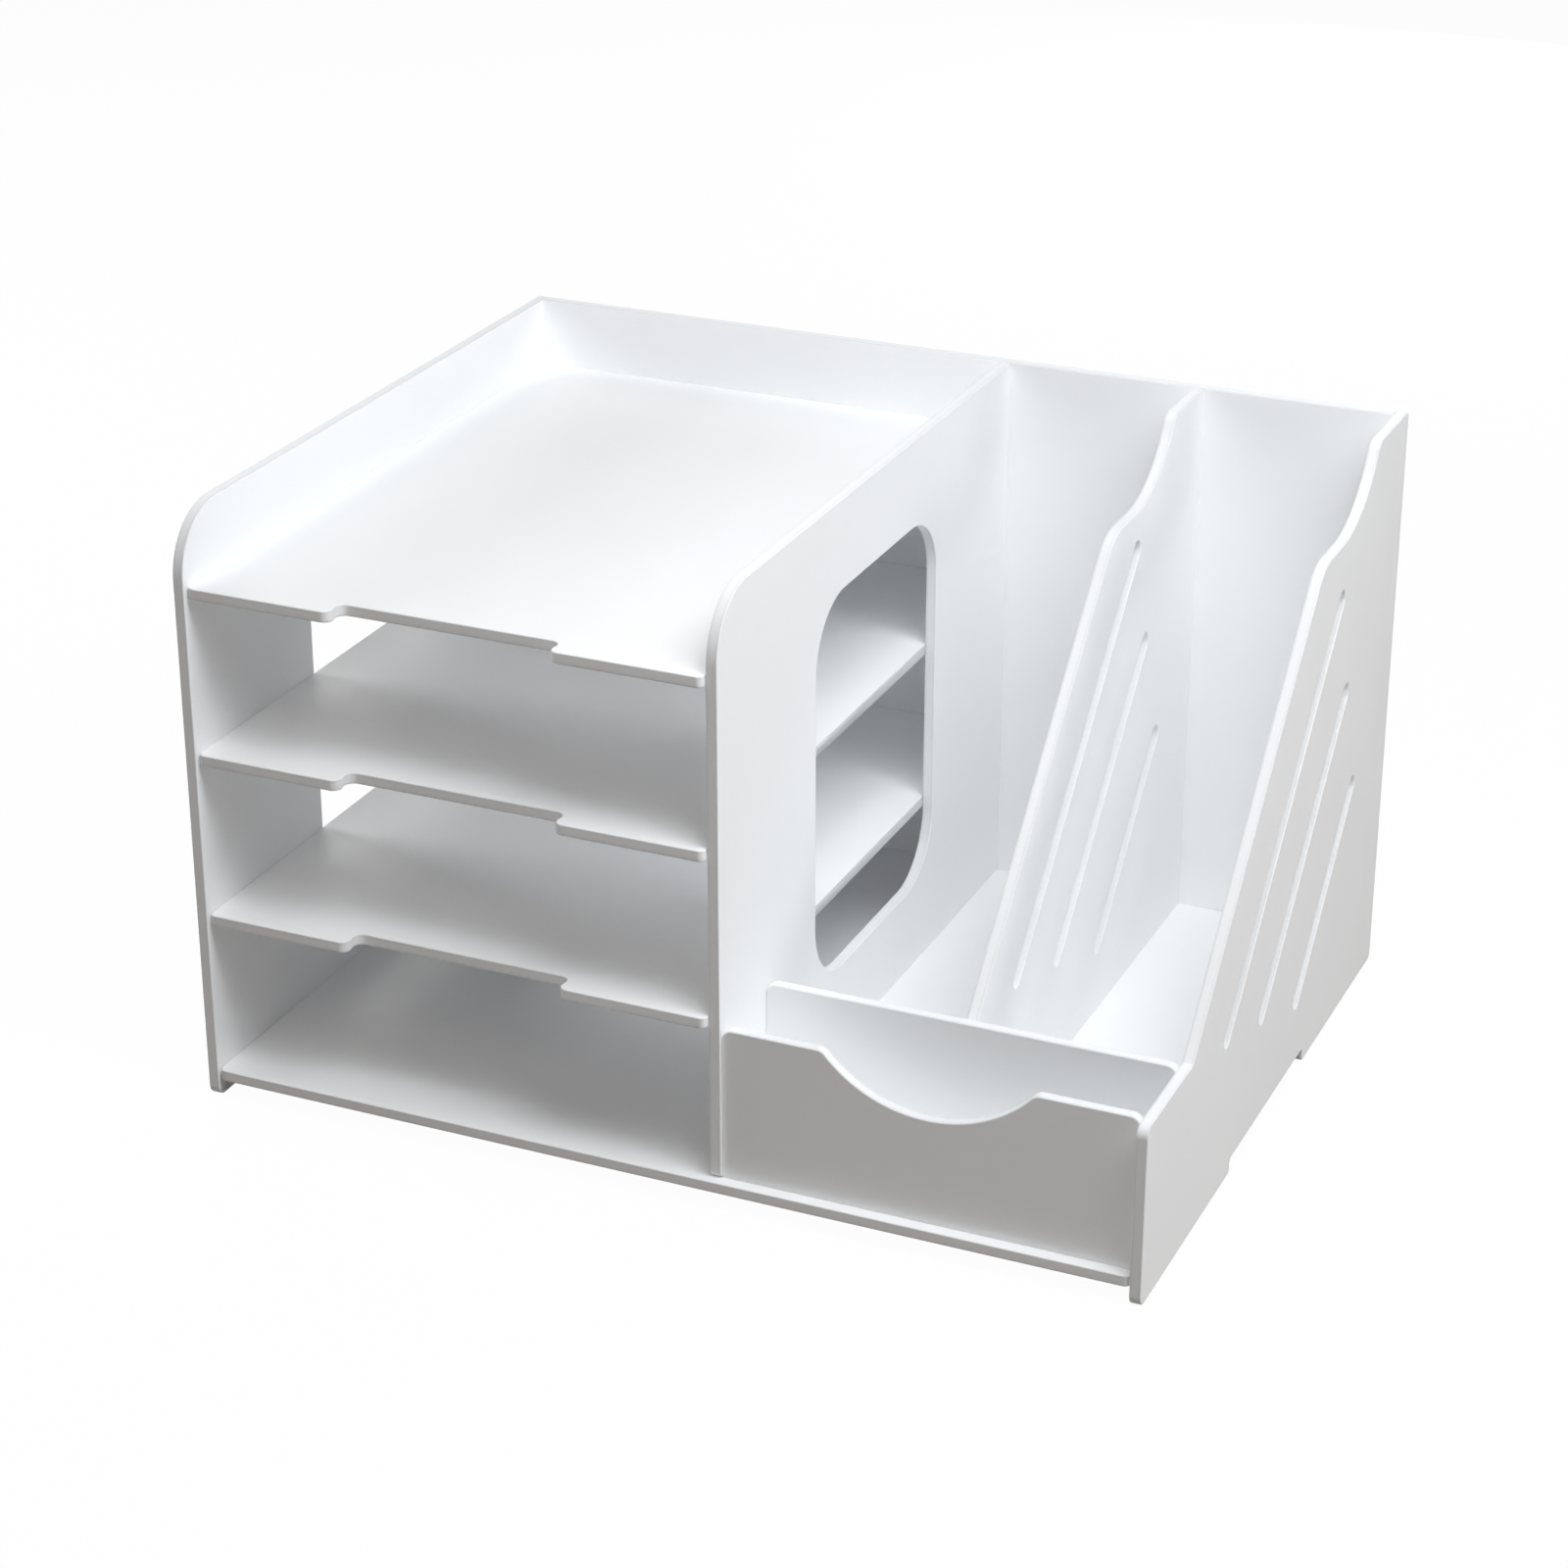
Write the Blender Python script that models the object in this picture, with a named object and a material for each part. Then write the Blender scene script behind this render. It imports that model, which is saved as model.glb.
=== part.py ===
"""A desktop file basket: a white desk organiser made of eleven routed foam-board panels.

The left half is a stack of paper shelves under an open top tray. The right half is a low front tray
with two magazine bays behind it. Blind tabs on the panels' edges seat in pockets routed into their
neighbours, so nothing moves once it is pressed together.

Metres, +Z up. X runs from left to right and Y from front to back. The origin is on the desk, in the
middle of the footprint.
"""

import math

import bmesh
import bpy
from mathutils import Matrix, Vector

# Overall size
WIDTH = 0.430
DEPTH = 0.334
HEIGHT = 0.271

# Board stock, its softened edges and the fit between boards
SHEET = 0.005
EDGE_ROUND = 0.0006
CORNER_ROUND = 0.003
FRONT_CORNER_ROUND = 0.005
FIT_GAP = 0.0003

# Blind tabs, and how much of an edge's free length lies beyond each of its two tabs
TAB_LENGTH = 0.030
TAB_THICKNESS = 0.003
TAB_REACH = 0.002
TAB_ROOT = 0.002
TAB_MARGIN_SHARE = 0.09

# Paper bays on the left
SHELVES = ("lower_shelf", "middle_shelf", "top_shelf")
PAPER_WIDTH = 0.235
FLOOR_CLEARANCE = 0.0082
TOP_TRAY_DEPTH = 0.0319
SHELF_SETBACK = 0.0015
FLOOR_SETBACK = 0.0006
NOTCH_WIDTH = 0.100
NOTCH_DEPTH = 0.0108
NOTCH_ROUND = 0.004

# Tall panels on the left and in the middle
TALL_CORNER_ROUND = 0.029
MIDDLE_SETBACK = 0.0045
WINDOW_FRONT_MARGIN = 0.0985
WINDOW_REAR_MARGIN = 0.1005
WINDOW_SILL = 0.0533
WINDOW_HEAD = 0.0407
WINDOW_ROUND = 0.030

# Feet under the side panels
FRONT_FOOT = 0.116
REAR_FOOT = 0.1115
FOOT_HEIGHT = 0.0065
FOOT_ROUND = 0.002

# Back panel
BACK_INSET = 0.0025

# Front tray
TRAY_SETBACK = 0.0062
TRAY_DEPTH = 0.0396
TRAY_WALL_TOP = 0.0825
TRAY_CORNER_ROUND = 0.0045
SCOOP_DEPTH = 0.0215
SCOOP_ROUND = 0.0595
SCOOP_LIP_ROUND = 0.005

# Stepped profile of the magazine bays' panels
LOW_TOP = 0.082
SHOULDER_DROP = 0.0297
SHOULDER_LENGTH = 0.0289
SHOULDER_ROUND = 0.024
SWEEP_ROUND = 0.056
SWEEP_LIP_ROUND = 0.008
LEDGE_LENGTH = 0.042

# Slanted slits in those panels, parallel to the slope. For each, how far up the slope it starts and
# ends, and how far behind the slope it lies, of the depth from the slope's foot to the rear.
SLIT_WIDTH = 0.009
SLIT_SHARES = (
    (-0.0864, 0.8531, 0.2045),
    (-0.1731, 0.5447, 0.4340),
    (-0.2914, 0.2103, 0.6934),
)
DIVIDER_SLIT_LIFT = 0.0085

# How finely the shapes are drawn
ARC_TOLERANCE = 0.0001
SAME_POINT = 0.000002
EDGE_STEPS = 2
EDGE_ANGLE = math.radians(40)

# Where the boards stand
LEFT = -WIDTH / 2
RIGHT = WIDTH / 2
FRONT = -DEPTH / 2
REAR = DEPTH / 2
BACK_FACE = REAR - BACK_INSET - SHEET
FLOOR_TOP = FLOOR_CLEARANCE + SHEET
SHELF_PITCH = (HEIGHT - TOP_TRAY_DEPTH - FLOOR_TOP) / len(SHELVES)
SHOULDER = HEIGHT - SHOULDER_DROP
MIDDLE_LEFT = LEFT + SHEET + PAPER_WIDTH
MIDDLE_RIGHT = MIDDLE_LEFT + SHEET
DIVIDER_MIDDLE = (MIDDLE_RIGHT + RIGHT - SHEET) / 2
TRAY_FRONT = FRONT + TRAY_SETBACK
INNER_WALL_FRONT = TRAY_FRONT + SHEET + TRAY_DEPTH
INNER_WALL_REAR = INNER_WALL_FRONT + SHEET

# Turns that stand a flat board along the depth or across the width
LENGTHWISE = (math.pi / 2, 0, math.pi / 2)
CROSSWISE = (math.pi / 2, 0, 0)
FLAT = (0, 0, 0)

BOARD_WHITE = (0.83, 0.84, 0.85, 1)
BOARD_ROUGHNESS = 0.42


def clear_scene():
    for obj in list(bpy.data.objects):
        bpy.data.objects.remove(obj, do_unlink=True)


def board_material(name):
    """Satin white foam board."""
    material = bpy.data.materials.new(name)
    material.use_nodes = True
    shader = material.node_tree.nodes["Principled BSDF"]
    shader.inputs["Base Color"].default_value = BOARD_WHITE
    shader.inputs["Roughness"].default_value = BOARD_ROUGHNESS
    shader.inputs["Metallic"].default_value = 0
    return material


def arc(centre, start, turn):
    """Points from start round the centre by the turn, in steps that leave the true arc by little."""
    spoke = start - centre
    step = 2 * math.acos(1 - min(ARC_TOLERANCE / spoke.length, 1))
    count = max(2, math.ceil(abs(turn) / step))
    return [centre + Matrix.Rotation(turn * i / count, 2) @ spoke for i in range(count + 1)]


def rounded_outline(corners):
    """The closed outline through corners (across, up, radius), with an arc at each corner.

    Where two arcs would need more than the straight between them, both shrink until they meet.
    """
    points = [Vector(corner[:2]) for corner in corners]
    following = points[1:] + points[:1]
    spans = [after - point for point, after in zip(points, following)]
    turns = [spans[i - 1].angle_signed(spans[i]) for i in range(len(points))]
    reaches = [corner[2] * math.tan(abs(turn) / 2) for corner, turn in zip(corners, turns)]
    outline = []
    for i, point in enumerate(points):
        if reaches[i] > 0:
            after = (i + 1) % len(points)
            room = min(
                1,
                spans[i - 1].length / (reaches[i - 1] + reaches[i]),
                spans[i].length / (reaches[i] + reaches[after]),
            )
            start = point - spans[i - 1].normalized() * reaches[i] * room
            inward = spans[i - 1].orthogonal().normalized()
            side = math.copysign(corners[i][2] * room, -turns[i])
            found = arc(start + inward * side, start, -turns[i])
        else:
            found = [point]
        outline += [p for p in found if not outline or (p - outline[-1]).length > SAME_POINT]
    if (outline[-1] - outline[0]).length <= SAME_POINT:
        outline.pop()
    return outline


def board(name, turn, place, corners, openings=()):
    """A sheet of board cut to the outline, its openings cut through and its edges softened."""
    shape = bmesh.new()
    for loop in (corners, *openings):
        verts = [shape.verts.new((across, up, -SHEET / 2)) for across, up in rounded_outline(loop)]
        for i, vert in enumerate(verts):
            shape.edges.new((verts[i - 1], vert))
    bmesh.ops.triangle_fill(shape, use_beauty=True, use_dissolve=True, edges=shape.edges[:])
    raised = bmesh.ops.extrude_face_region(shape, geom=shape.faces[:])["geom"]
    raised_verts = [item for item in raised if isinstance(item, bmesh.types.BMVert)]
    bmesh.ops.translate(shape, verts=raised_verts, vec=(0, 0, SHEET))
    bmesh.ops.recalc_face_normals(shape, faces=shape.faces[:])
    mesh = bpy.data.meshes.new(name)
    shape.to_mesh(mesh)
    shape.free()
    mesh.materials.append(board_material(name))
    sheet = bpy.data.objects.new(name, mesh)
    sheet.rotation_euler = turn
    sheet.location = place
    bpy.context.collection.objects.link(sheet)
    soften = sheet.modifiers.new("softened edges", "BEVEL")
    soften.width = EDGE_ROUND
    soften.segments = EDGE_STEPS
    soften.limit_method = "ANGLE"
    soften.angle_limit = EDGE_ANGLE
    soften.use_clamp_overlap = False


def blocks(name, spans):
    """A hidden helper of blocks, each given as its lowest and highest corner."""
    shape = bmesh.new()
    for low, high in spans:
        size = high - low
        matrix = Matrix.Translation((low + high) / 2) @ Matrix.Diagonal((*size, 1))
        bmesh.ops.create_cube(shape, size=1, matrix=matrix)
    mesh = bpy.data.meshes.new(name)
    shape.to_mesh(mesh)
    shape.free()
    helper = bpy.data.objects.new(name, mesh)
    helper.hide_render = True
    helper.display_type = "WIRE"
    bpy.context.collection.objects.link(helper)
    return helper


def combine(sheet, operation, spans):
    helper = blocks(f"{sheet.name}_{operation.lower()}", spans)
    change = sheet.modifiers.new(operation.lower(), "BOOLEAN")
    change.operation = operation
    change.solver = "EXACT"
    change.object = helper


class Joinery:
    """Gathers each board's tabs and pockets, then adds and cuts them all at once."""

    def __init__(self):
        self.tabs = {}
        self.pockets = {}

    def seat(self, giver, taker, into, face, thin, middle, centres):
        """Tabs of one board in pockets of another.

        into is the direction in which the tabs enter the face, thin the axis of the giving board's
        thickness and middle its middle there, and centres the tabs' places along the third axis.
        """
        entry = [abs(part) for part in into].index(1)
        sense = into[entry]
        run = 3 - entry - thin
        for centre in centres:
            low = Vector((0, 0, 0))
            high = Vector((0, 0, 0))
            tip = face + sense * TAB_REACH
            root = face - sense * TAB_ROOT
            low[entry], high[entry] = sorted((root, tip))
            low[thin] = middle - TAB_THICKNESS / 2
            high[thin] = middle + TAB_THICKNESS / 2
            low[run] = centre - TAB_LENGTH / 2
            high[run] = centre + TAB_LENGTH / 2
            clearance = Vector((FIT_GAP, FIT_GAP, FIT_GAP))
            self.tabs.setdefault(giver, []).append((low, high))
            self.pockets.setdefault(taker, []).append((low - clearance, high + clearance))

    def finish(self):
        for name, spans in self.tabs.items():
            combine(bpy.data.objects[name], "UNION", spans)
        for name, spans in self.pockets.items():
            combine(bpy.data.objects[name], "DIFFERENCE", spans)


def shelf_top(level):
    return FLOOR_TOP + level * SHELF_PITCH


def bend_sweep(drop, lip_round, bed_round):
    """The angle through which a bend turns, from its level edge to its steepest and back to level."""
    return math.acos(max(1 - abs(drop) / (lip_round + bed_round), 0))


def bend_run(drop, lip_round, bed_round):
    """How far across a bend reaches from where its lip starts to where its bed starts."""
    return (lip_round + bed_round) * math.sin(bend_sweep(drop, lip_round, bed_round))


def bend(start, way, level, drop, lip_round, bed_round):
    """The two corners of a bend that leaves the level at start and settles again by the drop."""
    sweep = bend_sweep(drop, lip_round, bed_round)
    lip = start + way * lip_round * math.tan(sweep / 2)
    bed = lip + way * abs(drop) / math.tan(sweep)
    return [(lip, level, lip_round), (bed, level - drop, bed_round)]


def dip(start, end, level, drop, lip_round, bed_round):
    """The four corners of a dip in a level edge, from one lip to the other."""
    falling = bend(start, 1, level, drop, lip_round, bed_round)
    rising = bend(end, -1, level, drop, lip_round, bed_round)
    return falling + rising[::-1]


def feet():
    """The lower edge of a side panel, from the front foot to the rear one."""
    front_end = FRONT + FRONT_FOOT
    rear_start = REAR - REAR_FOOT
    return [
        (FRONT, 0, FRONT_CORNER_ROUND),
        (front_end, 0, FOOT_ROUND),
        (front_end, FOOT_HEIGHT, FOOT_ROUND),
        (rear_start, FOOT_HEIGHT, FOOT_ROUND),
        (rear_start, 0, FOOT_ROUND),
        (REAR, 0, CORNER_ROUND),
    ]


def window(shift):
    """The round-cornered opening of a tall panel, moved back by the shift."""
    near = FRONT + shift + WINDOW_FRONT_MARGIN
    far = REAR + shift - WINDOW_REAR_MARGIN
    top = HEIGHT - WINDOW_HEAD
    return [
        (near, WINDOW_SILL, WINDOW_ROUND),
        (far, WINDOW_SILL, WINDOW_ROUND),
        (far, top, WINDOW_ROUND),
        (near, top, WINDOW_ROUND),
    ]


def sweep_start():
    """Where the level rear end of a magazine panel's upper edge starts to sweep down."""
    return REAR - LEDGE_LENGTH


def slope_foot():
    return Vector((INNER_WALL_REAR, LOW_TOP))


def slope_top():
    """The slope's upper corner, where the level shoulder in front of the sweep starts."""
    sweep_end = sweep_start() - bend_run(SHOULDER_DROP, SWEEP_LIP_ROUND, SWEEP_ROUND)
    return Vector((sweep_end - SHOULDER_LENGTH, SHOULDER))


def stepped_top(rear):
    """The upper edge of a magazine panel, from its rear end forward and down to the slope's top."""
    return [
        (rear, HEIGHT, CORNER_ROUND),
        *bend(sweep_start(), -1, HEIGHT, SHOULDER_DROP, SWEEP_LIP_ROUND, SWEEP_ROUND),
        (*slope_top(), SHOULDER_ROUND),
    ]


def slits(lift):
    """Three slanted slits with full round ends, side by side behind the slope."""
    slope = slope_top() - slope_foot()
    half_width = slope.orthogonal().normalized() * SLIT_WIDTH / 2
    found = []
    for start_share, end_share, back_share in SLIT_SHARES:
        back = Vector(((REAR - INNER_WALL_REAR) * back_share, lift))
        start = slope_foot() + slope * start_share + back
        end = slope_foot() + slope * end_share + back
        rim = (start - half_width, end - half_width, end + half_width, start + half_width)
        found.append([(point.x, point.y, SLIT_WIDTH / 2) for point in rim])
    return found


def left_side_panel():
    outline = [
        *feet(),
        (REAR, HEIGHT, CORNER_ROUND),
        (FRONT, HEIGHT, TALL_CORNER_ROUND),
    ]
    place = (LEFT + SHEET / 2, 0, 0)
    board("left_side_panel", LENGTHWISE, place, outline, [window(0)])


def middle_panel():
    front = FRONT + MIDDLE_SETBACK
    rear = BACK_FACE - FIT_GAP
    foot = FLOOR_TOP + FIT_GAP
    outline = [
        (front, foot, CORNER_ROUND),
        (rear, foot, 0),
        (rear, HEIGHT, 0),
        (front, HEIGHT, TALL_CORNER_ROUND),
    ]
    place = (MIDDLE_LEFT + SHEET / 2, 0, 0)
    board("middle_panel", LENGTHWISE, place, outline, [window(MIDDLE_SETBACK)])


def right_side_panel():
    outline = [
        *feet(),
        *stepped_top(REAR),
        (*slope_foot(), CORNER_ROUND),
        (FRONT, LOW_TOP, FRONT_CORNER_ROUND),
    ]
    place = (RIGHT - SHEET / 2, 0, 0)
    board("right_side_panel", LENGTHWISE, place, outline, slits(0))


def magazine_divider():
    front = INNER_WALL_REAR + FIT_GAP
    rear = BACK_FACE - FIT_GAP
    foot = FLOOR_TOP + FIT_GAP
    outline = [
        (front, foot, 0),
        (rear, foot, 0),
        *stepped_top(rear),
        (front, LOW_TOP, 0),
    ]
    board("magazine_divider", LENGTHWISE, (DIVIDER_MIDDLE, 0, 0), outline, slits(DIVIDER_SLIT_LIFT))


def back_panel():
    left = LEFT + SHEET + FIT_GAP
    right = RIGHT - SHEET - FIT_GAP
    foot = FLOOR_TOP + FIT_GAP
    outline = [
        (left, foot, 0),
        (right, foot, 0),
        (right, HEIGHT, 0),
        (left, HEIGHT, 0),
    ]
    board("back_panel", CROSSWISE, (0, BACK_FACE + SHEET / 2, 0), outline)


def bottom_panel():
    left = LEFT + SHEET + FIT_GAP
    right = RIGHT - SHEET - FIT_GAP
    front = FRONT + FLOOR_SETBACK
    rear = REAR - BACK_INSET
    outline = [
        (left, front, CORNER_ROUND),
        (right, front, CORNER_ROUND),
        (right, rear, 0),
        (left, rear, 0),
    ]
    board("bottom_panel", FLAT, (0, 0, FLOOR_TOP - SHEET / 2), outline)


def paper_shelf(name, level):
    """One shelf of the paper stack, with a finger notch in the middle of its front edge."""
    left = LEFT + SHEET + FIT_GAP
    right = MIDDLE_LEFT - FIT_GAP
    front = FRONT + SHELF_SETBACK
    rear = BACK_FACE - FIT_GAP
    middle = (left + right) / 2
    half_mouth = NOTCH_WIDTH / 2 + NOTCH_ROUND
    start = middle - half_mouth
    end = middle + half_mouth
    outline = [
        (left, front, CORNER_ROUND),
        *dip(start, end, front, -NOTCH_DEPTH, NOTCH_ROUND, NOTCH_ROUND),
        (right, front, CORNER_ROUND),
        (right, rear, 0),
        (left, rear, 0),
    ]
    board(name, FLAT, (0, 0, shelf_top(level) - SHEET / 2), outline)


def tray_wall(name, front, dips):
    """A low wall across the right half, with any dips in its upper edge."""
    left = MIDDLE_RIGHT + FIT_GAP
    right = RIGHT - SHEET - FIT_GAP
    foot = FLOOR_TOP + FIT_GAP
    outline = [
        (left, foot, 0),
        (right, foot, 0),
        (right, TRAY_WALL_TOP, TRAY_CORNER_ROUND),
        *dips,
        (left, TRAY_WALL_TOP, TRAY_CORNER_ROUND),
    ]
    board(name, CROSSWISE, (0, front + SHEET / 2, 0), outline)


def front_tray_wall():
    """The outer wall, with one wide shallow scoop for reaching into the tray."""
    middle = (MIDDLE_RIGHT + RIGHT - SHEET) / 2
    run = bend_run(SCOOP_DEPTH, SCOOP_LIP_ROUND, SCOOP_ROUND)
    start = middle - run
    end = middle + run
    scoop = dip(start, end, TRAY_WALL_TOP, SCOOP_DEPTH, SCOOP_LIP_ROUND, SCOOP_ROUND)
    tray_wall("front_tray_wall", TRAY_FRONT, scoop[::-1])


def inner_tray_wall():
    tray_wall("inner_tray_wall", INNER_WALL_FRONT, [])


def end_pair(start, end):
    """The middles of two tabs, one near each end of an edge."""
    free_length = end - start - 2 * TAB_LENGTH
    inset = free_length * TAB_MARGIN_SHARE + TAB_LENGTH / 2
    return [start + inset, end - inset]


def join_boards():
    joinery = Joinery()
    x, y, z = range(3)
    inside_left = LEFT + SHEET
    inside_right = RIGHT - SHEET
    back_middle = BACK_FACE + SHEET / 2
    floor_middle = FLOOR_TOP - SHEET / 2
    wall_middle = (FLOOR_TOP + TRAY_WALL_TOP) / 2
    tall = end_pair(FLOOR_TOP, HEIGHT)
    left_way = (-1, 0, 0)
    right_way = (1, 0, 0)
    front_way = (0, -1, 0)
    back_way = (0, 1, 0)
    down = (0, 0, -1)

    deep = end_pair(FRONT, BACK_FACE)
    joinery.seat("bottom_panel", "left_side_panel", left_way, inside_left, z, floor_middle, deep)
    joinery.seat("bottom_panel", "right_side_panel", right_way, inside_right, z, floor_middle, deep)

    joinery.seat("back_panel", "left_side_panel", left_way, inside_left, y, back_middle, tall)
    joinery.seat("back_panel", "right_side_panel", right_way, inside_right, y, back_middle, tall)
    wide = end_pair(inside_left, inside_right)
    joinery.seat("back_panel", "bottom_panel", down, FLOOR_TOP, y, back_middle, wide)

    across = end_pair(inside_left, MIDDLE_LEFT)
    for level, name in enumerate(SHELVES, start=1):
        middle = shelf_top(level) - SHEET / 2
        joinery.seat(name, "left_side_panel", left_way, inside_left, z, middle, deep)
        joinery.seat(name, "middle_panel", right_way, MIDDLE_LEFT, z, middle, deep)
        joinery.seat(name, "back_panel", back_way, BACK_FACE, z, middle, across)

    panel_middle = MIDDLE_LEFT + SHEET / 2
    joinery.seat("middle_panel", "bottom_panel", down, FLOOR_TOP, x, panel_middle, deep)
    joinery.seat("middle_panel", "back_panel", back_way, BACK_FACE, x, panel_middle, tall)

    divider = "magazine_divider"
    bay = end_pair(INNER_WALL_REAR, BACK_FACE)
    low = [wall_middle]
    joinery.seat(divider, "bottom_panel", down, FLOOR_TOP, x, DIVIDER_MIDDLE, bay)
    joinery.seat(divider, "back_panel", back_way, BACK_FACE, x, DIVIDER_MIDDLE, tall)
    joinery.seat(divider, "inner_tray_wall", front_way, INNER_WALL_REAR, x, DIVIDER_MIDDLE, low)

    half = end_pair(MIDDLE_RIGHT, inside_right)
    for name, front in (("front_tray_wall", TRAY_FRONT), ("inner_tray_wall", INNER_WALL_FRONT)):
        middle = front + SHEET / 2
        joinery.seat(name, "middle_panel", left_way, MIDDLE_RIGHT, y, middle, low)
        joinery.seat(name, "right_side_panel", right_way, inside_right, y, middle, low)
        joinery.seat(name, "bottom_panel", down, FLOOR_TOP, y, middle, half)
    joinery.finish()


def main():
    clear_scene()
    left_side_panel()
    middle_panel()
    right_side_panel()
    magazine_divider()
    back_panel()
    bottom_panel()
    for level, name in enumerate(SHELVES, start=1):
        paper_shelf(name, level)
    front_tray_wall()
    inner_tray_wall()
    join_boards()


main()
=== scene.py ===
import math

import bmesh
import bpy
from mathutils import Matrix, Vector

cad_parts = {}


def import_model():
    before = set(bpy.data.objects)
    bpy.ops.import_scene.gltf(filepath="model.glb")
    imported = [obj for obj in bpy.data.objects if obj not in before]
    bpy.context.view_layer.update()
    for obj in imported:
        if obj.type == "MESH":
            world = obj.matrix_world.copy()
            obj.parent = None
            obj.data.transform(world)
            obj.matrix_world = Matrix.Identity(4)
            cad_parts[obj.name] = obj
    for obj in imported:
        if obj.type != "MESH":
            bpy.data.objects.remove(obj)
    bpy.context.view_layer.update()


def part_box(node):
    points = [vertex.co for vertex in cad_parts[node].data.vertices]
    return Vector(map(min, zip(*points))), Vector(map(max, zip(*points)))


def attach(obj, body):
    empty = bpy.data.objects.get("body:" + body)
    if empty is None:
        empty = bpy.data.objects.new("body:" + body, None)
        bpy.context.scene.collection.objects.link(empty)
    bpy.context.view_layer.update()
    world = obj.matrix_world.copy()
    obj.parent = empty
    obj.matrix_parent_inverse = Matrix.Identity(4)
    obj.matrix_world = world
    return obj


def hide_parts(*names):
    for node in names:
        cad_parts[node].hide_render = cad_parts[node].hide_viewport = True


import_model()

# Camera, fitted to the photograph's 1600 x 1600 frame
CAMERA_PLACE = (0.59169, -1.37151, 0.80241)
CAMERA_TURN = (math.radians(65.442), 0, math.radians(23.795))
CAMERA_LENS = 85.284
CAMERA_SENSOR = 36

# Shapes of the routed boards, in metres
SEAM = 0.00012
EDGE_ROUND = 0.0006
CORNER_ROUND = 0.003
FRONT_CORNER_ROUND = 0.005
TALL_CORNER_ROUND = 0.029
NOTCH_WIDTH = 0.100
NOTCH_DEPTH = 0.0108
NOTCH_ROUND = 0.004
WINDOW_FRONT_MARGIN = 0.0985
WINDOW_REAR_MARGIN = 0.1005
WINDOW_SILL = 0.0533
WINDOW_HEAD = 0.0407
WINDOW_ROUND = 0.030
FRONT_FOOT = 0.116
REAR_FOOT = 0.1115
FOOT_HEIGHT = 0.0065
FOOT_ROUND = 0.002
TRAY_CORNER_ROUND = 0.0045
SCOOP_DEPTH = 0.0215
SCOOP_ROUND = 0.0595
SCOOP_LIP_ROUND = 0.005
LOW_TOP = 0.082
SHOULDER_DROP = 0.0297
SHOULDER_LENGTH = 0.0289
SHOULDER_ROUND = 0.024
SWEEP_ROUND = 0.056
SWEEP_LIP_ROUND = 0.008
LEDGE_LENGTH = 0.042
SLIT_WIDTH = 0.009
DIVIDER_SLIT_LIFT = 0.0085
SLIT_SHARES = (
    (-0.0864, 0.8531, 0.2045),
    (-0.1731, 0.5447, 0.4340),
    (-0.2914, 0.2103, 0.6934),
)

# How finely the boards are drawn
ARC_TOLERANCE = 0.00001
SAME_POINT = 0.000002
EDGE_STEPS = 3
CORNER_ANGLE = math.radians(40)

# Turns that stand a flat board along the depth or across the width, or leave it lying
LENGTHWISE = (math.pi / 2, 0, math.pi / 2)
CROSSWISE = (math.pi / 2, 0, 0)
FLAT = (0, 0, 0)

# Tones of the board's skin and its cut edges, and how strongly both shine
SKIN_LIGHT = (0.938, 0.945, 0.951)
SKIN_DARK = (0.924, 0.931, 0.937)
EDGE_CORE = (0.925, 0.930, 0.935)
# The next tone is painted shade, darker along the cut edge's rims beside each skin
EDGE_RIM_SHADE = (0.815, 0.824, 0.834)
BOARD_GLOSS = 0.3

# The skin's texture: how fine its noises are, how deep their relief is, and how rough it gets
TONE_FINENESS = 16
SMUDGE_FINENESS = 55
SMUDGE_STRETCH = (1, 0.45, 1)
WAVE_FINENESS = 24
WAVE_DEPTH = 0.00012
PEEL_FINENESS = 850
PEEL_DEPTH = 0.000008
SKIN_ROUGHNESS = (0.44, 0.56)

# The cut edge's texture, in the same terms
CELL_FINENESS = 2600
CELL_DEPTH = 0.000012
LINE_FINENESS = 60
LINE_STRETCH = (1, 1, 60)
LINE_DEPTH = 0.00003
EDGE_ROUGHNESS = (0.55, 0.7)

# The part of a noise's range that holds most of its values
NOISE_LOW = 0.3
NOISE_HIGH = 0.7

# The cut edge's painted shade along its rims beside each skin: where it starts and ends from the
# board's middle, and how strong
RIM_SHADE_START = 0.0011
RIM_SHADE_END = 0.0020
RIM_SHADE_SHARE = 0.75
CELL_SHARE = 0.35

# The floor: its tone to the light it bounces, its tone as seen, and how far it shows plain white
FLOOR_TONE = (0.335, 0.305, 0.275)
FLOOR_SEEN_TONE = (0.98, 0.98, 0.98)
FLOOR_SEEN_SHARE = 0.97
FLOOR_ROUGHNESS = 0.9
FLOOR_RADIUS = 30
FLOOR_SIDES = 96

# Soft studio lamps: name, place, size, strength in watts, colour
LAMPS = (
    ("key_above_right", (0.45, -0.35, 1.0), 0.5, 3.85, (0.92, 0.96, 1.0)),
    ("close_right", (0.7, -0.2, 0.9), 0.5, 2.85, (0.94, 0.97, 1.0)),
    ("high_front_right", (0.53, -0.53, 2.0), 0.8, 9.4, (0.98, 0.985, 1.0)),
    ("front_fill", (0.0, -1.5, 1.6), 0.9, 4.4, (1.0, 0.92, 0.85)),
    ("right_fill", (2.0, 0.0, 0.5), 0.8, 8.3, (1.0, 0.985, 0.98)),
    ("left_fill", (-2.0, 0.0, 0.5), 0.8, 27, (0.96, 0.975, 1.0)),
    ("back_left", (-1.1, 1.1, 1.6), 0.9, 7.3, (1.0, 0.98, 0.96)),
    ("back_fill", (0.0, 2.0, 0.3), 0.5, 17, (1.0, 1.0, 1.0)),
)
WORLD_TONE = (0.01, 0.01, 0.01, 1)

# The sky as seen is as white as the far floor, so no horizon shows
SKY_SEEN = 0.973

# White boards face each other in the bays, so light bounces between them many times
DIFFUSE_BOUNCES = 10


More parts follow.
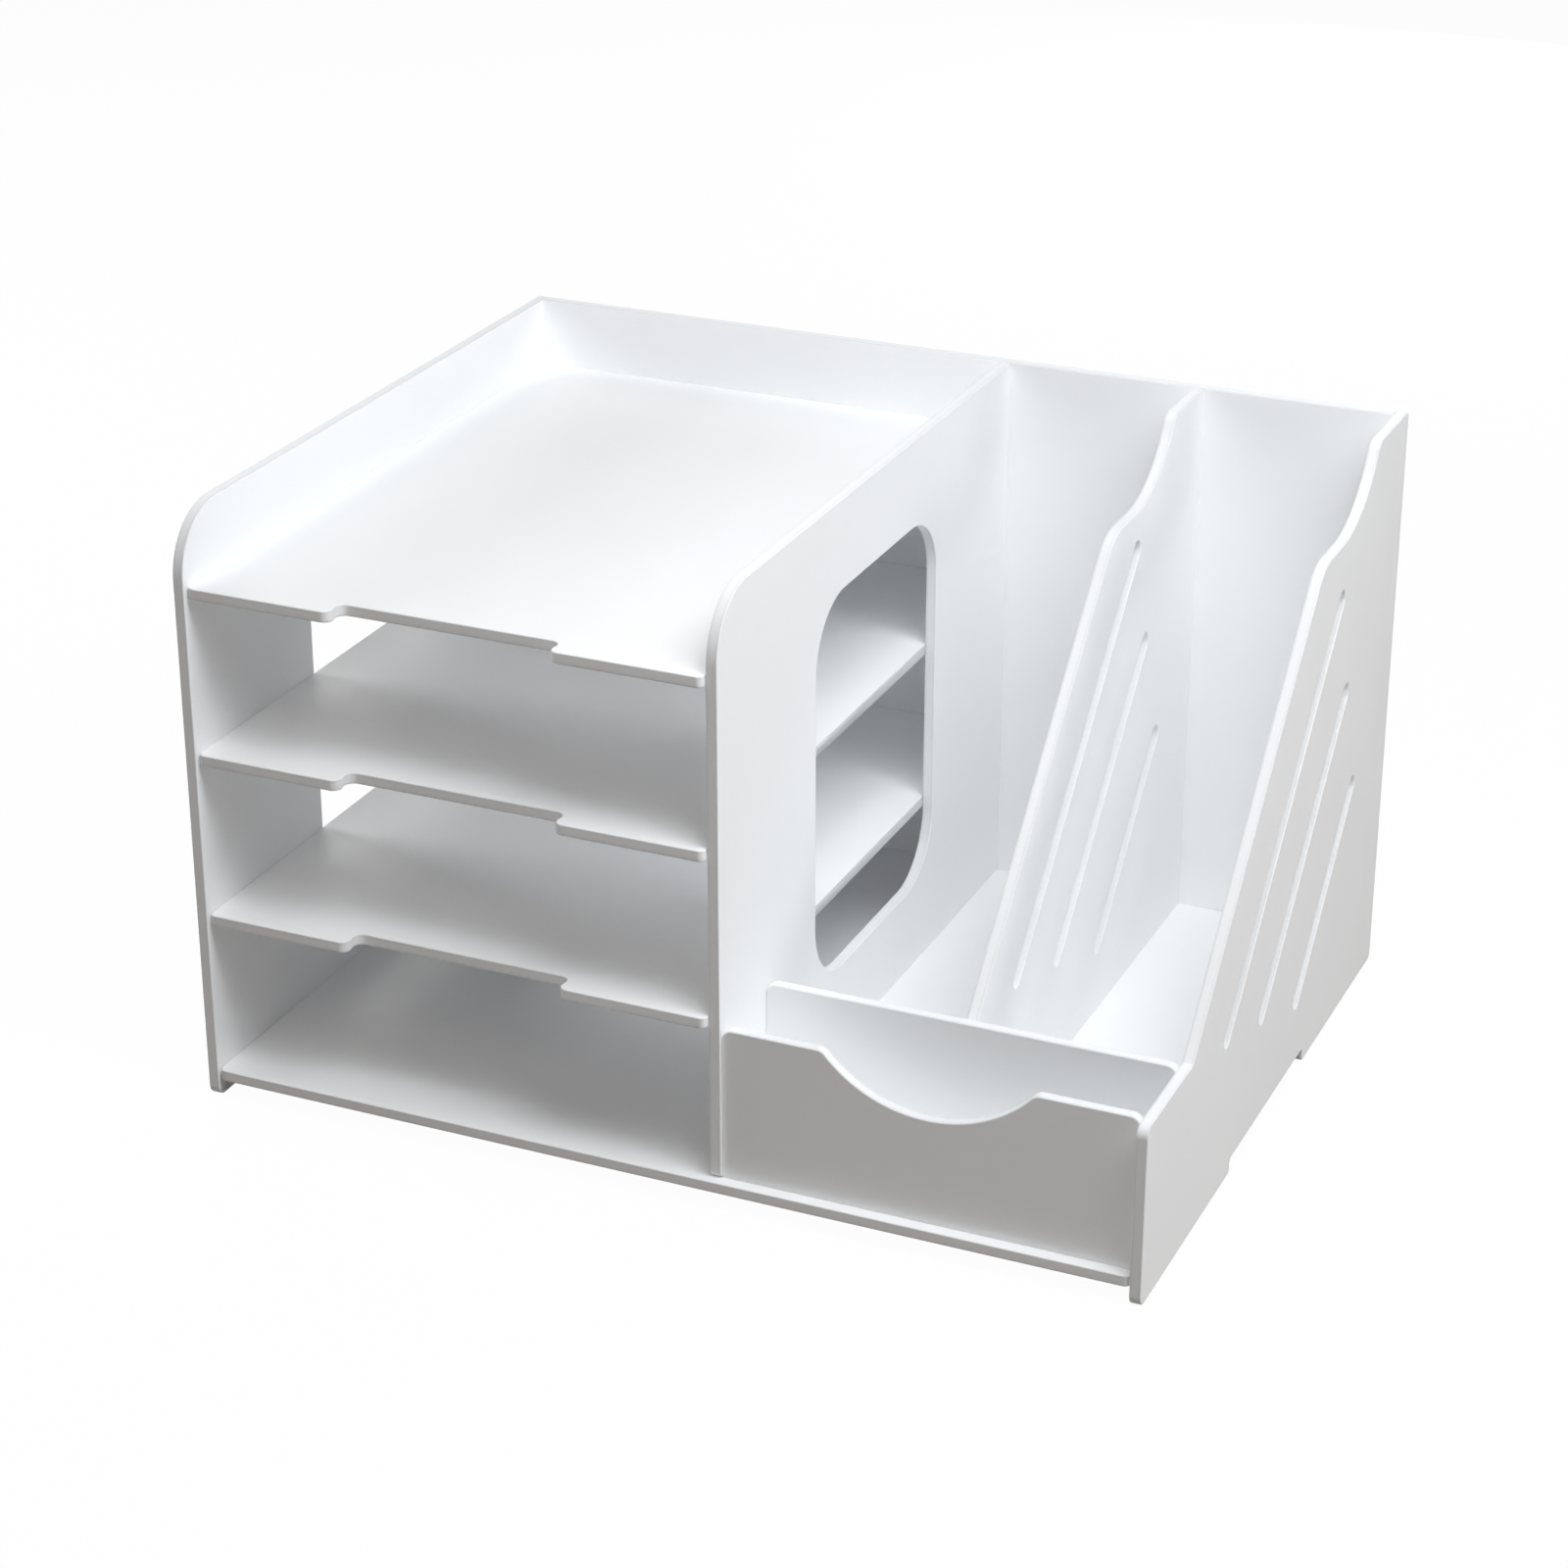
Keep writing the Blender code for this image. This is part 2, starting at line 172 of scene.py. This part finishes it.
def camera():
    data = bpy.data.cameras.new("camera")
    data.sensor_width = CAMERA_SENSOR
    data.lens = CAMERA_LENS
    made = bpy.data.objects.new("camera", data)
    made.location = CAMERA_PLACE
    made.rotation_euler = CAMERA_TURN
    bpy.context.scene.collection.objects.link(made)
    bpy.context.scene.camera = made


def arc(centre, start, turn):
    """Points from start round the centre by the turn."""
    spoke = start - centre
    step = 2 * math.acos(1 - min(ARC_TOLERANCE / spoke.length, 1))
    count = max(2, math.ceil(abs(turn) / step))
    return [centre + Matrix.Rotation(turn * i / count, 2) @ spoke for i in range(count + 1)]


def rounded_outline(corners):
    """The closed outline through corners (across, up, radius), with an arc at each corner."""
    points = [Vector(corner[:2]) for corner in corners]
    following = points[1:] + points[:1]
    spans = [after - point for point, after in zip(points, following)]
    turns = [spans[i - 1].angle_signed(spans[i]) for i in range(len(points))]
    reaches = [corner[2] * math.tan(abs(turn) / 2) for corner, turn in zip(corners, turns)]
    outline = []
    for i, point in enumerate(points):
        if reaches[i] > 0:
            after = (i + 1) % len(points)
            room = min(
                1,
                spans[i - 1].length / (reaches[i - 1] + reaches[i]),
                spans[i].length / (reaches[i] + reaches[after]),
            )
            start = point - spans[i - 1].normalized() * reaches[i] * room
            inward = spans[i - 1].orthogonal().normalized()
            side = math.copysign(corners[i][2] * room, -turns[i])
            found = arc(start + inward * side, start, -turns[i])
        else:
            found = [point]
        outline += [p for p in found if not outline or (p - outline[-1]).length > SAME_POINT]
    if (outline[-1] - outline[0]).length <= SAME_POINT:
        outline.pop()
    return outline


def bend(start, way, level, drop, lip_round, bed_round):
    """The two corners of a bend that leaves the level at start and settles again by the drop."""
    sweep = math.acos(1 - abs(drop) / (lip_round + bed_round))
    lip = start + way * lip_round * math.tan(sweep / 2)
    bed = lip + way * abs(drop) / math.tan(sweep)
    return [(lip, level, lip_round), (bed, level - drop, bed_round)]


def bend_run(drop, lip_round, bed_round):
    """How far across a bend reaches from where its lip starts to where its bed starts."""
    total = lip_round + bed_round
    return math.sqrt(total**2 - (total - abs(drop)) ** 2)


def dip(middle, half_mouth, level, drop, lip_round, bed_round):
    """The four corners of a dip in a level edge, from one lip to the other."""
    falling = bend(middle - half_mouth, 1, level, drop, lip_round, bed_round)
    rising = bend(middle + half_mouth, -1, level, drop, lip_round, bed_round)
    return falling + rising[::-1]


def on_a_seam(edge, seams):
    """Whether an outline edge butts against another board, along one of the seams (axis, place)."""
    return any(
        all(abs(vert.co[axis] - place) < SAME_POINT for vert in edge.verts)
        for axis, place in seams
    )


def stands(face):
    """Whether a face is part of the cut edge and not of a skin."""
    heights = [vert.co.z for vert in face.verts]
    return max(heights) - min(heights) > SAME_POINT


def finish_edges(shape, seams):
    """Marks the free rims to be softened, and keeps butting rims and square corners crisp."""
    weights = shape.edges.layers.float.new("bevel_weight_edge")
    for edge in shape.edges:
        standing = sum(stands(face) for face in edge.link_faces)
        square = standing == 2 and edge.calc_face_angle() > CORNER_ANGLE
        butting = standing == 1 and on_a_seam(edge, seams)
        edge.smooth = not (square or butting)
        edge[weights] = 1 if standing == 1 and not butting else 0


def sheet(name, thickness, loops, seams):
    """The mesh of a flat sheet, cut to the first loop and with the other loops as its openings."""
    shape = bmesh.new()
    for loop in loops:
        verts = [shape.verts.new((*point, -thickness / 2)) for point in rounded_outline(loop)]
        for i, vert in enumerate(verts):
            shape.edges.new((verts[i - 1], vert))
    bmesh.ops.triangle_fill(shape, use_beauty=True, use_dissolve=True, edges=shape.edges[:])
    raised = bmesh.ops.extrude_face_region(shape, geom=shape.faces[:])["geom"]
    raised_verts = [item for item in raised if isinstance(item, bmesh.types.BMVert)]
    bmesh.ops.translate(shape, verts=raised_verts, vec=(0, 0, thickness))
    bmesh.ops.recalc_face_normals(shape, faces=shape.faces[:])
    finish_edges(shape, seams)
    for face in shape.faces:
        face.smooth = True
        face.material_index = 1 if stands(face) else 0
    mesh = bpy.data.meshes.new(name)
    shape.to_mesh(mesh)
    shape.free()
    mesh.materials.append(SKIN)
    mesh.materials.append(CUT_EDGE)
    return mesh


def board(name, turn, place, corners, openings=(), seams=()):
    """A sheet cut to the outline that stands for the frame's board of this name."""
    low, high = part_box(name)
    mesh = sheet(name, min(high - low), (corners, *openings), seams)
    piece = bpy.data.objects.new(f"{name}_board", mesh)
    piece.rotation_euler = turn
    piece.location = place
    bpy.context.scene.collection.objects.link(piece)
    soften = piece.modifiers.new("softened edges", "BEVEL")
    soften.width = EDGE_ROUND
    soften.segments = EDGE_STEPS
    soften.limit_method = "WEIGHT"
    soften.use_clamp_overlap = False
    soften.loop_slide = False
    normals = piece.modifiers.new("flat faces", "WEIGHTED_NORMAL")
    normals.keep_sharp = True
    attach(piece, "root")
    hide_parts(name)


def feet():
    """The lower edge of a side panel, from the front foot to the rear one."""
    front_end = FRONT + FRONT_FOOT
    rear_start = REAR - REAR_FOOT
    return [
        (FRONT, 0, FRONT_CORNER_ROUND),
        (front_end, 0, FOOT_ROUND),
        (front_end, FOOT_HEIGHT, FOOT_ROUND),
        (rear_start, FOOT_HEIGHT, FOOT_ROUND),
        (rear_start, 0, FOOT_ROUND),
        (REAR, 0, CORNER_ROUND),
    ]


def window(shift):
    """The round-cornered opening of a tall panel, moved back by the shift."""
    near = FRONT + shift + WINDOW_FRONT_MARGIN
    far = REAR + shift - WINDOW_REAR_MARGIN
    top = HEIGHT - WINDOW_HEAD
    return [
        (near, WINDOW_SILL, WINDOW_ROUND),
        (far, WINDOW_SILL, WINDOW_ROUND),
        (far, top, WINDOW_ROUND),
        (near, top, WINDOW_ROUND),
    ]


def stepped_top(rear):
    """The upper edge of a magazine panel, from its rear end forward and down to the slope's top."""
    return [
        (rear, HEIGHT, CORNER_ROUND),
        *bend(REAR - LEDGE_LENGTH, -1, HEIGHT, SHOULDER_DROP, SWEEP_LIP_ROUND, SWEEP_ROUND),
        (*SLOPE_TOP, SHOULDER_ROUND),
    ]


def slits(lift):
    """Three slanted slits with full round ends, side by side behind the slope."""
    slope = SLOPE_TOP - SLOPE_FOOT
    half_width = slope.orthogonal().normalized() * SLIT_WIDTH / 2
    found = []
    for start_share, end_share, back_share in SLIT_SHARES:
        back = Vector(((REAR - INNER_HIGH.y) * back_share, lift))
        start = SLOPE_FOOT + slope * start_share + back
        end = SLOPE_FOOT + slope * end_share + back
        rim = (start - half_width, end - half_width, end + half_width, start + half_width)
        found.append([(*point, SLIT_WIDTH / 2) for point in rim])
    return found


def middle_of(name):
    low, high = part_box(name)
    return (low + high) / 2


def left_side_panel():
    outline = [*feet(), (REAR, HEIGHT, CORNER_ROUND), (FRONT, HEIGHT, TALL_CORNER_ROUND)]
    place = (middle_of("left_side_panel").x, 0, 0)
    board("left_side_panel", LENGTHWISE, place, outline, [window(0)])


def middle_panel():
    front = MIDDLE_LOW.y
    outline = [
        (front, FOOT, CORNER_ROUND),
        (BACK_JOINT, FOOT, 0),
        (BACK_JOINT, HEIGHT, 0),
        (front, HEIGHT, TALL_CORNER_ROUND),
    ]
    place = (middle_of("middle_panel").x, 0, 0)
    openings = [window(front - FRONT)]
    board("middle_panel", LENGTHWISE, place, outline, openings, [(0, BACK_JOINT), (1, FOOT)])


def right_side_panel():
    outline = [
        *feet(),
        *stepped_top(REAR),
        (*SLOPE_FOOT, CORNER_ROUND),
        (FRONT, LOW_TOP, FRONT_CORNER_ROUND),
    ]
    place = (middle_of("right_side_panel").x, 0, 0)
    board("right_side_panel", LENGTHWISE, place, outline, slits(0))


def magazine_divider():
    front = INNER_HIGH.y + SEAM
    outline = [
        (front, FOOT, 0),
        (BACK_JOINT, FOOT, 0),
        *stepped_top(BACK_JOINT),
        (front, LOW_TOP, 0),
    ]
    place = (middle_of("magazine_divider").x, 0, 0)
    seams = [(0, front), (0, BACK_JOINT), (1, FOOT)]
    board("magazine_divider", LENGTHWISE, place, outline, slits(DIVIDER_SLIT_LIFT), seams)


def back_panel():
    left = LEFT_HIGH.x + SEAM
    right = RIGHT_LOW.x - SEAM
    outline = [(left, FOOT, 0), (right, FOOT, 0), (right, HEIGHT, 0), (left, HEIGHT, 0)]
    seams = [(0, left), (0, right), (1, FOOT)]
    board("back_panel", CROSSWISE, (0, middle_of("back_panel").y, 0), outline, (), seams)


def bottom_panel():
    left = LEFT_HIGH.x + SEAM
    right = RIGHT_LOW.x - SEAM
    outline = [
        (left, BOTTOM_LOW.y, CORNER_ROUND),
        (right, BOTTOM_LOW.y, CORNER_ROUND),
        (right, BOTTOM_HIGH.y, 0),
        (left, BOTTOM_HIGH.y, 0),
    ]
    place = (0, 0, middle_of("bottom_panel").z)
    board("bottom_panel", FLAT, place, outline, (), [(0, left), (0, right)])


def paper_shelf(name):
    """One shelf of the paper stack, with a finger notch in the middle of its front edge."""
    left = LEFT_HIGH.x + SEAM
    right = MIDDLE_LOW.x - SEAM
    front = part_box(name)[0].y
    half_mouth = NOTCH_WIDTH / 2 + NOTCH_ROUND
    outline = [
        (left, front, CORNER_ROUND),
        *dip((left + right) / 2, half_mouth, front, -NOTCH_DEPTH, NOTCH_ROUND, NOTCH_ROUND),
        (right, front, CORNER_ROUND),
        (right, BACK_JOINT, 0),
        (left, BACK_JOINT, 0),
    ]
    seams = [(0, left), (0, right), (1, BACK_JOINT)]
    board(name, FLAT, (0, 0, middle_of(name).z), outline, (), seams)


def tray_wall(name, scooped):
    """A low wall across the right half, with or without the scoop in its upper edge."""
    left = MIDDLE_HIGH.x + SEAM
    right = RIGHT_LOW.x - SEAM
    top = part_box(name)[1].z
    outline = [
        (left, FOOT, 0),
        (right, FOOT, 0),
        (right, top, TRAY_CORNER_ROUND),
        (left, top, TRAY_CORNER_ROUND),
    ]
    if scooped:
        run = bend_run(SCOOP_DEPTH, SCOOP_LIP_ROUND, SCOOP_ROUND)
        scoop = dip((left + right) / 2, run, top, SCOOP_DEPTH, SCOOP_LIP_ROUND, SCOOP_ROUND)
        outline[3:3] = scoop[::-1]
    seams = [(0, left), (0, right), (1, FOOT)]
    board(name, CROSSWISE, (0, middle_of(name).y, 0), outline, (), seams)


class Nodes:
    """Adds nodes to a material's tree and links them by name."""

    def __init__(self, tree):
        self.tree = tree

    def add(self, kind, inputs=(), **settings):
        made = self.tree.nodes.new(kind)
        for key, value in settings.items():
            setattr(made, key, value)
        for key, value in dict(inputs).items():
            if isinstance(value, bpy.types.NodeSocket):
                self.tree.links.new(value, made.inputs[key])
            else:
                made.inputs[key].default_value = value
        return made

    def noise(self, place, scale, detail=2, stretch=(1, 1, 1)):
        stretched = self.add("ShaderNodeMapping", {"Vector": place, "Scale": stretch})
        inputs = {"Vector": stretched.outputs["Vector"], "Scale": scale, "Detail": detail}
        return self.add("ShaderNodeTexNoise", inputs).outputs["Fac"]

    def spread(self, value, low, high):
        """The middle of a noise's range stretched between low and high."""
        inputs = {"Value": value, "From Min": NOISE_LOW, "From Max": NOISE_HIGH}
        inputs |= {"To Min": low, "To Max": high}
        return self.add("ShaderNodeMapRange", inputs).outputs["Result"]

    def blend(self, share, first, second):
        made = self.add("ShaderNodeMix", {0: share}, data_type="RGBA")
        made.inputs[6].default_value = (*first, 1)
        made.inputs[7].default_value = (*second, 1)
        return made.outputs[2]

    def bump(self, heights):
        """A normal shaped by several (height, distance) pairs, one on top of the other."""
        normal = None
        for height, distance in heights:
            inputs = {"Height": height, "Distance": distance, "Strength": 1}
            if normal:
                inputs["Normal"] = normal
            normal = self.add("ShaderNodeBump", inputs).outputs["Normal"]
        return normal


def start_material(name):
    material = bpy.data.materials.new(name)
    material.use_nodes = True
    nodes = Nodes(material.node_tree)
    place = nodes.add("ShaderNodeTexCoord").outputs["Object"]
    return material, nodes, place, material.node_tree.nodes["Principled BSDF"]


def finish_material(nodes, shader, colour, roughness, normal):
    """Joins a board material's textures to its shader and gives it the boards' gloss."""
    nodes.tree.links.new(colour, shader.inputs["Base Color"])
    nodes.tree.links.new(roughness, shader.inputs["Roughness"])
    nodes.tree.links.new(normal, shader.inputs["Normal"])
    shader.inputs["Specular IOR Level"].default_value = BOARD_GLOSS


def skin_material():
    """The board's satin skin: a faint orange peel, a slight waviness and barely uneven tone."""
    material, nodes, place, shader = start_material("foam_board_skin")
    tone = nodes.spread(nodes.noise(place, TONE_FINENESS, 3), 0, 1)
    colour = nodes.blend(tone, SKIN_DARK, SKIN_LIGHT)
    smudges = nodes.noise(place, SMUDGE_FINENESS, 4, SMUDGE_STRETCH)
    roughness = nodes.spread(smudges, *SKIN_ROUGHNESS)
    peel = nodes.noise(place, PEEL_FINENESS, 2)
    waves = nodes.noise(place, WAVE_FINENESS, 1)
    normal = nodes.bump([(waves, WAVE_DEPTH), (peel, PEEL_DEPTH)])
    finish_material(nodes, shader, colour, roughness, normal)
    return material


def cut_edge_material():
    """A routed edge: fine foam cells, the cutter's lines, and painted shade along the rims beside
    each skin.
    """
    material, nodes, place, shader = start_material("foam_board_cut_edge")
    cells = nodes.noise(place, CELL_FINENESS, 3)
    lines = nodes.noise(place, LINE_FINENESS, 2, LINE_STRETCH)
    across = nodes.add("ShaderNodeSeparateXYZ", {"Vector": place}).outputs["Z"]
    from_core = nodes.add("ShaderNodeMath", {0: across}, operation="ABSOLUTE").outputs[0]
    # Painted shade: the edge darkens towards its rims beside each skin, and the foam cells add
    # specks
    reach = {"Value": from_core, "From Min": RIM_SHADE_START, "From Max": RIM_SHADE_END, "To Max": RIM_SHADE_SHARE}
    rim = nodes.add("ShaderNodeMapRange", reach, interpolation_type="SMOOTHSTEP").outputs["Result"]
    specks = nodes.spread(cells, 0, CELL_SHARE)
    shade = nodes.add("ShaderNodeMath", {0: rim, 1: specks}, use_clamp=True).outputs[0]
    colour = nodes.blend(shade, EDGE_CORE, EDGE_RIM_SHADE)
    roughness = nodes.spread(lines, *EDGE_ROUGHNESS)
    normal = nodes.bump([(lines, LINE_DEPTH), (cells, CELL_DEPTH)])
    finish_material(nodes, shader, colour, roughness, normal)
    return material


def seen_share(nodes, most):
    """The share, up to the most, in which a surface shows plain white to camera and mirror rays."""
    rays = nodes.add("ShaderNodeLightPath").outputs
    total = rays["Is Camera Ray"]
    for other in ("Is Glossy Ray", "Is Transmission Ray"):
        total = nodes.add("ShaderNodeMath", {0: total, 1: rays[other]}, use_clamp=True).outputs[0]
    return nodes.add("ShaderNodeMath", {0: total, 1: most}, operation="MULTIPLY").outputs[0]


def floor_material():
    """White with a faint shadow to camera and mirror rays, and a warm grey to other rays."""
    material = bpy.data.materials.new("pale_floor")
    material.use_nodes = True
    nodes = Nodes(material.node_tree)
    lit = material.node_tree.nodes["Principled BSDF"]
    tone = nodes.blend(seen_share(nodes, 1), FLOOR_TONE, FLOOR_SEEN_TONE)
    nodes.tree.links.new(tone, lit.inputs["Base Color"])
    lit.inputs["Roughness"].default_value = FLOOR_ROUGHNESS
    lit.inputs["Specular IOR Level"].default_value = 0
    white = nodes.add("ShaderNodeEmission", {"Color": (1, 1, 1, 1), "Strength": 1})
    share = seen_share(nodes, FLOOR_SEEN_SHARE)
    mixed = nodes.add("ShaderNodeMixShader", {0: share, 1: lit.outputs[0], 2: white.outputs[0]})
    output = material.node_tree.nodes["Material Output"]
    nodes.tree.links.new(mixed.outputs[0], output.inputs["Surface"])
    return material


def floor():
    """A plain pale floor that keeps the object's shadow."""
    shape = bmesh.new()
    bmesh.ops.create_circle(shape, cap_ends=True, radius=FLOOR_RADIUS, segments=FLOOR_SIDES)
    mesh = bpy.data.meshes.new("floor")
    shape.to_mesh(mesh)
    shape.free()
    mesh.materials.append(floor_material())
    made = bpy.data.objects.new("floor", mesh)
    bpy.context.scene.collection.objects.link(made)


def world():
    """A dim sky that shows white to camera and mirror rays."""
    made = bpy.data.worlds.new("studio")
    made.use_nodes = True
    nodes = Nodes(made.node_tree)
    lit = made.node_tree.nodes["Background"]
    lit.inputs["Color"].default_value = WORLD_TONE
    white = nodes.add("ShaderNodeBackground", {"Color": (1, 1, 1, 1), "Strength": SKY_SEEN})
    share = seen_share(nodes, 1)
    mixed = nodes.add("ShaderNodeMixShader", {0: share, 1: lit.outputs[0], 2: white.outputs[0]})
    nodes.tree.links.new(mixed.outputs[0], made.node_tree.nodes["World Output"].inputs["Surface"])
    bpy.context.scene.world = made


def lamp(name, place, size, strength, colour):
    """A square lamp that faces the middle of the object and isn't seen itself."""
    data = bpy.data.lights.new(name, "AREA")
    data.shape = "SQUARE"
    data.size = size
    data.energy = strength
    data.color = colour
    made = bpy.data.objects.new(name, data)
    made.visible_camera = False
    made.location = place
    aim = Vector((0, 0, HEIGHT / 2)) - made.location
    made.rotation_euler = aim.to_track_quat("-Z", "Y").to_euler()
    bpy.context.scene.collection.objects.link(made)


# Places of the boards' faces, from the frame
LEFT_LOW, LEFT_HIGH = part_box("left_side_panel")
RIGHT_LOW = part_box("right_side_panel")[0]
MIDDLE_LOW, MIDDLE_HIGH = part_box("middle_panel")
BACK_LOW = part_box("back_panel")[0]
BOTTOM_LOW, BOTTOM_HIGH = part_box("bottom_panel")
INNER_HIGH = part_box("inner_tray_wall")[1]
FRONT, REAR = LEFT_LOW.y, LEFT_HIGH.y
HEIGHT = LEFT_HIGH.z
FOOT = BOTTOM_HIGH.z + SEAM
BACK_JOINT = BACK_LOW.y - SEAM
SWEEP_END = REAR - LEDGE_LENGTH - bend_run(SHOULDER_DROP, SWEEP_LIP_ROUND, SWEEP_ROUND)
SLOPE_TOP = Vector((SWEEP_END - SHOULDER_LENGTH, HEIGHT - SHOULDER_DROP))
SLOPE_FOOT = Vector((INNER_HIGH.y, LOW_TOP))

camera()
SKIN = skin_material()
CUT_EDGE = cut_edge_material()
left_side_panel()
middle_panel()
right_side_panel()
magazine_divider()
back_panel()
bottom_panel()
for shelf in ("lower_shelf", "middle_shelf", "top_shelf"):
    paper_shelf(shelf)
tray_wall("front_tray_wall", True)
tray_wall("inner_tray_wall", False)
floor()
world()
for settings in LAMPS:
    lamp(*settings)
bpy.context.scene.view_settings.view_transform = "Standard"
bpy.context.scene.cycles.diffuse_bounces = DIFFUSE_BOUNCES

bpy.context.view_layer.update()
